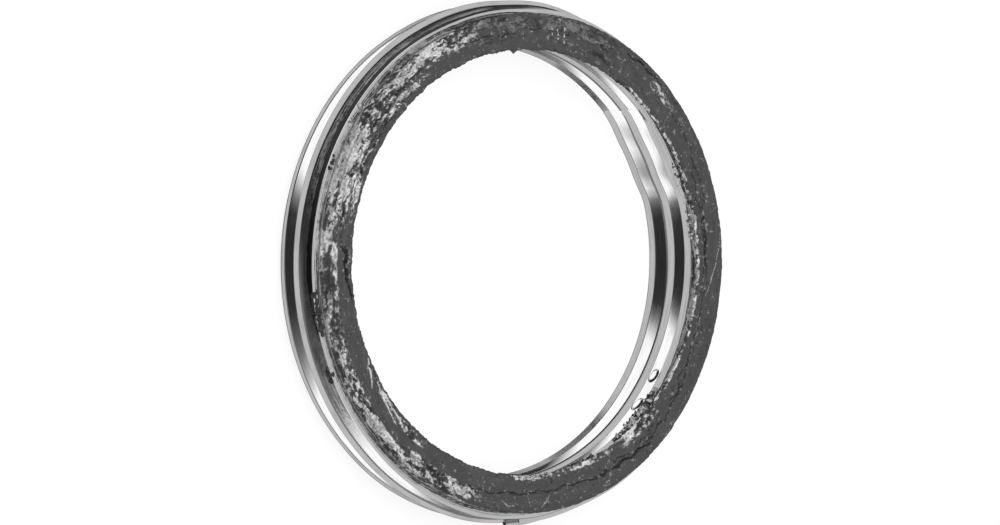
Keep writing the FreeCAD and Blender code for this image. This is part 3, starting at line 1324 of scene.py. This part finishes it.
@dataclass(frozen=True)
class GraphiteFinish:
    """Flexible graphite: smooth and dark where pressed, silvery where torn."""

    pressed: float = 0.040
    deep: float = 0.008
    speck: float = 0.20
    torn_dark: float = 0.28
    torn_bright: float = 0.74
    flake_fade: Point = (0.38, 0.62)
    pore_fade: Point = (0.36, 0.42)
    speck_fade: Point = (0.59, 0.66)
    silver_fade: Point = (0.02, 0.62)
    pressed_roughness: float = 0.55
    torn_roughness: float = 0.34
    shine: float = 0.35
    metal_share: float = 0.6
    flake_height: float = 0.00003

    def material(self) -> bpy.types.Material:
        """Makes the material, or returns the one already made.

        Returns:
            The material.
        """
        name = "flexible_graphite"
        if name in bpy.data.materials:
            return bpy.data.materials[name]
        made, shader = fresh_material(name)
        silver = shader.attribute("silver")
        # the 'dark' attribute: painted shade in the body's creases, hollows and cracks, and the crumbs' own dark tone
        dark = shader.attribute("dark")
        grain = shader.node("ShaderNodeGroup", {"node_tree": ring_grain_group()}, Fineness=3.0, Length=2.5, Detail=3.0)
        place = shader.node("ShaderNodeTexCoord").outputs["Object"]
        marks = grain.outputs["Marks"]
        flakes = shader.texture(place, 4600.0, 4.0, 0.65)
        specks = shader.texture(place, 2600.0, 5.0, 0.7)
        pores = shader.texture(place, 1900.0, 6.0, 0.75, 0.6)
        layered = shader.plus(shader.times(flakes, 0.6), shader.times(marks, 0.4))
        torn = shader.mix(shader.ramp(layered, *self.flake_fade), grey(self.torn_dark), grey(self.torn_bright))
        pressed = shader.mix(shader.ramp(marks, 0.4, 0.7), grey(self.pressed), grey(self.pressed * 1.3))
        pitted = shader.mix(shader.ramp(pores, *self.pore_fade, 0.8, 0.0), pressed, grey(self.deep))
        speckled = shader.mix(shader.ramp(specks, *self.speck_fade, 0.0, 0.8), pitted, grey(self.speck))
        both = shader.mix(shader.ramp(silver, *self.silver_fade), speckled, torn)
        # mixes in that painted shade and dark tone towards the deepest grey
        colour = shader.mix(dark, both, grey(self.deep))
        metallic = shader.times(silver, self.metal_share)
        roughness = shader.ramp(silver, 0.0, 1.0, self.pressed_roughness, self.torn_roughness)
        height = shader.times(flakes, shader.ramp(silver, 0.0, 0.6, 0.35, 1.0))
        bump = shader.node("ShaderNodeBump", Strength=0.4, Distance=self.flake_height, Height=height)
        surface = shader.node("ShaderNodeBsdfPrincipled", Base_Color=colour, Metallic=metallic, Roughness=roughness,
                              Specular_IOR_Level=self.shine, Normal=bump.outputs[0])
        shader.node("ShaderNodeOutputMaterial", Surface=surface.outputs[0])
        return made


@dataclass
class Studio:
    """Floor, surroundings, lamp and the camera at the photograph's viewing angle."""

    floor_size: float = 3.0
    camera_distance: float = 1.5
    picture_width: float = 0.080
    aim: Place = (1.28, -0.09, 0.99)
    towards_camera: Place = (-0.6115, 0.0101, 0.7912)
    picture_up: Place = (0.0, 0.9999, -0.0128)
    overhead_light: float = 0.61
    overhead_slant: float = 0.25
    overhead_edge: Point = (-0.12, 0.07)
    under_light: Point = (0.22, 0.03)
    under_edge: Point = (-0.64, -0.58)
    floor_grey: float = 0.86
    floor_glow: float = 0.84
    room_grey: float = 0.72
    lamp_place: Place = (-0.10, 0.05, 0.32)
    lamp_size: float = 0.30
    lamp_power: float = 1.1
    sensor_width: float = 36.0
    cards: tuple[Point, ...] = (
        (0.0, 0.03), (24.0, 0.035), (44.0, 0.20), (56.0, 0.60), (66.0, 1.25), (114.0, 1.25), (130.0, 0.30),
        (156.0, 0.06), (190.0, 0.03), (222.0, 0.03), (246.0, 1.25), (318.0, 1.25), (330.0, 0.25), (338.0, 0.035),
        (360.0, 0.03),
    )

    def build(self) -> None:
        """Builds the whole studio."""
        self.floor()
        self.surroundings()
        self.lamp()
        self.camera()

    def floor(self) -> None:
        """White floor that keeps a faint shadow and stays out of the steel's reflections."""
        half = self.floor_size / 2.0
        corners = [(-half, -half, 0.0), (half, -half, 0.0), (half, half, 0.0), (-half, half, 0.0)]
        floor = make_object("studio_floor", corners, [(0, 1, 2, 3)])
        made, shader = fresh_material("studio_white")
        matt = shader.node("ShaderNodeBsdfDiffuse", Color=grey(self.floor_grey))
        glow = shader.node("ShaderNodeEmission", Color=grey(1.0), Strength=1.0)
        seen = shader.times(shader.node("ShaderNodeLightPath").outputs["Is Camera Ray"], self.floor_glow)
        both = shader.node("ShaderNodeMixShader", None, seen, matt.outputs[0], glow.outputs[0])
        shader.node("ShaderNodeOutputMaterial", Surface=both.outputs[0])
        floor.data.materials.append(made)
        floor.visible_glossy = False

    def surroundings(self) -> None:
        """Even white light, with the dark and bright cards that polished steel needs to show its form."""
        world = bpy.data.worlds.new("studio")
        bpy.context.scene.world = world
        world.use_nodes = True
        world.node_tree.nodes.clear()
        shader = Shader(world.node_tree)
        way = shader.node("ShaderNodeTexCoord").outputs["Generated"]
        parts = shader.node("ShaderNodeSeparateXYZ", Vector=way)
        east, north, height = parts.outputs
        turn = shader.math("DEGREES", shader.math("ARCTAN2", north, east))
        round_share = shader.math("DIVIDE", shader.plus(turn, 180.0), 360.0)
        cards = self.card_ring(shader, round_share)
        overhead = shader.plus(height, shader.times(east, self.overhead_slant))
        band = shader.ramp(north, -0.3, 0.3, *self.under_light)
        below = shader.ramp(height, *self.under_edge)
        above = shader.ramp(overhead, *self.overhead_edge)
        low = shader.mix(below, cards, band)
        seen = shader.mix(above, low, grey(self.overhead_light))
        path = shader.node("ShaderNodeLightPath")
        lit = shader.mix(path.outputs["Is Glossy Ray"], grey(self.room_grey), seen)
        shown = shader.mix(path.outputs["Is Camera Ray"], lit, grey(1.0))
        surface = shader.node("ShaderNodeBackground", Color=shown, Strength=1.0)
        shader.node("ShaderNodeOutputWorld", Surface=surface.outputs[0])

    def card_ring(self, shader: Shader, round_share: Socket) -> Socket:
        """Bright and dark cards round the foot of the table, by direction.

        Args:
            shader: Tree to add to.
            round_share: Direction as a share of a turn that starts at -X and goes by -Y.

        Returns:
            The brightness there.
        """
        ring = shader.node("ShaderNodeValToRGB", Fac=round_share)
        stops = ring.color_ramp.elements
        for index, (degrees, level) in enumerate(self.cards):
            stop = stops[index] if index < 2 else stops.new(degrees / 360.0)
            stop.position = degrees / 360.0
            stop.color = grey(level)
        return ring.outputs[0]

    def lamp(self) -> None:
        """One soft square lamp that points at the ring."""
        light = bpy.data.lights.new("soft_box", "AREA")
        light.size = self.lamp_size
        light.energy = self.lamp_power
        made = bpy.data.objects.new("soft_box", light)
        made.location = self.lamp_place
        made.rotation_mode = "QUATERNION"
        made.rotation_quaternion = (-Vector(self.lamp_place)).to_track_quat("-Z", "Y")
        made.visible_glossy = False
        bpy.context.scene.collection.objects.link(made)

    def camera(self) -> None:
        """Long-lens camera that looks down on the ring as the photograph does."""
        back = Vector(self.towards_camera).normalized()
        right = Vector(self.picture_up).cross(back).normalized()
        up = back.cross(right)
        lens = bpy.data.cameras.new("camera")
        lens.sensor_width = self.sensor_width
        lens.lens = self.sensor_width * self.camera_distance / self.picture_width
        lens.clip_start = 0.01
        lens.clip_end = 30.0
        made = bpy.data.objects.new("camera", lens)
        turn = Matrix((right, up, back)).transposed().to_4x4()
        made.matrix_world = Matrix.Translation(Vector(self.aim) * MM + back * self.camera_distance) @ turn
        bpy.context.scene.collection.objects.link(made)
        bpy.context.scene.camera = made
        bpy.context.scene.view_settings.view_transform = "Standard"


def main() -> None:
    """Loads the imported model, builds every piece over it and notes the sizes."""
    logging.basicConfig(level=logging.INFO, format="%(message)s")
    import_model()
    winding = Winding()
    steel = SteelFinish()
    graphite = GraphiteFinish()
    pieces = [SteelStrip(winding).build(steel), GraphiteBody(winding).build(graphite), Crumbs().build(graphite)]
    for name, angle in (("spot_weld_front", -31.5), ("spot_weld_rear", -40.7)):
        pieces.append(SpotWeld(name, winding, angle).build(steel))
    for piece in pieces:
        log.info("%s: %d faces", piece.name, len(piece.data.polygons))
    Studio().build()


if __name__ == "__main__":
    main()
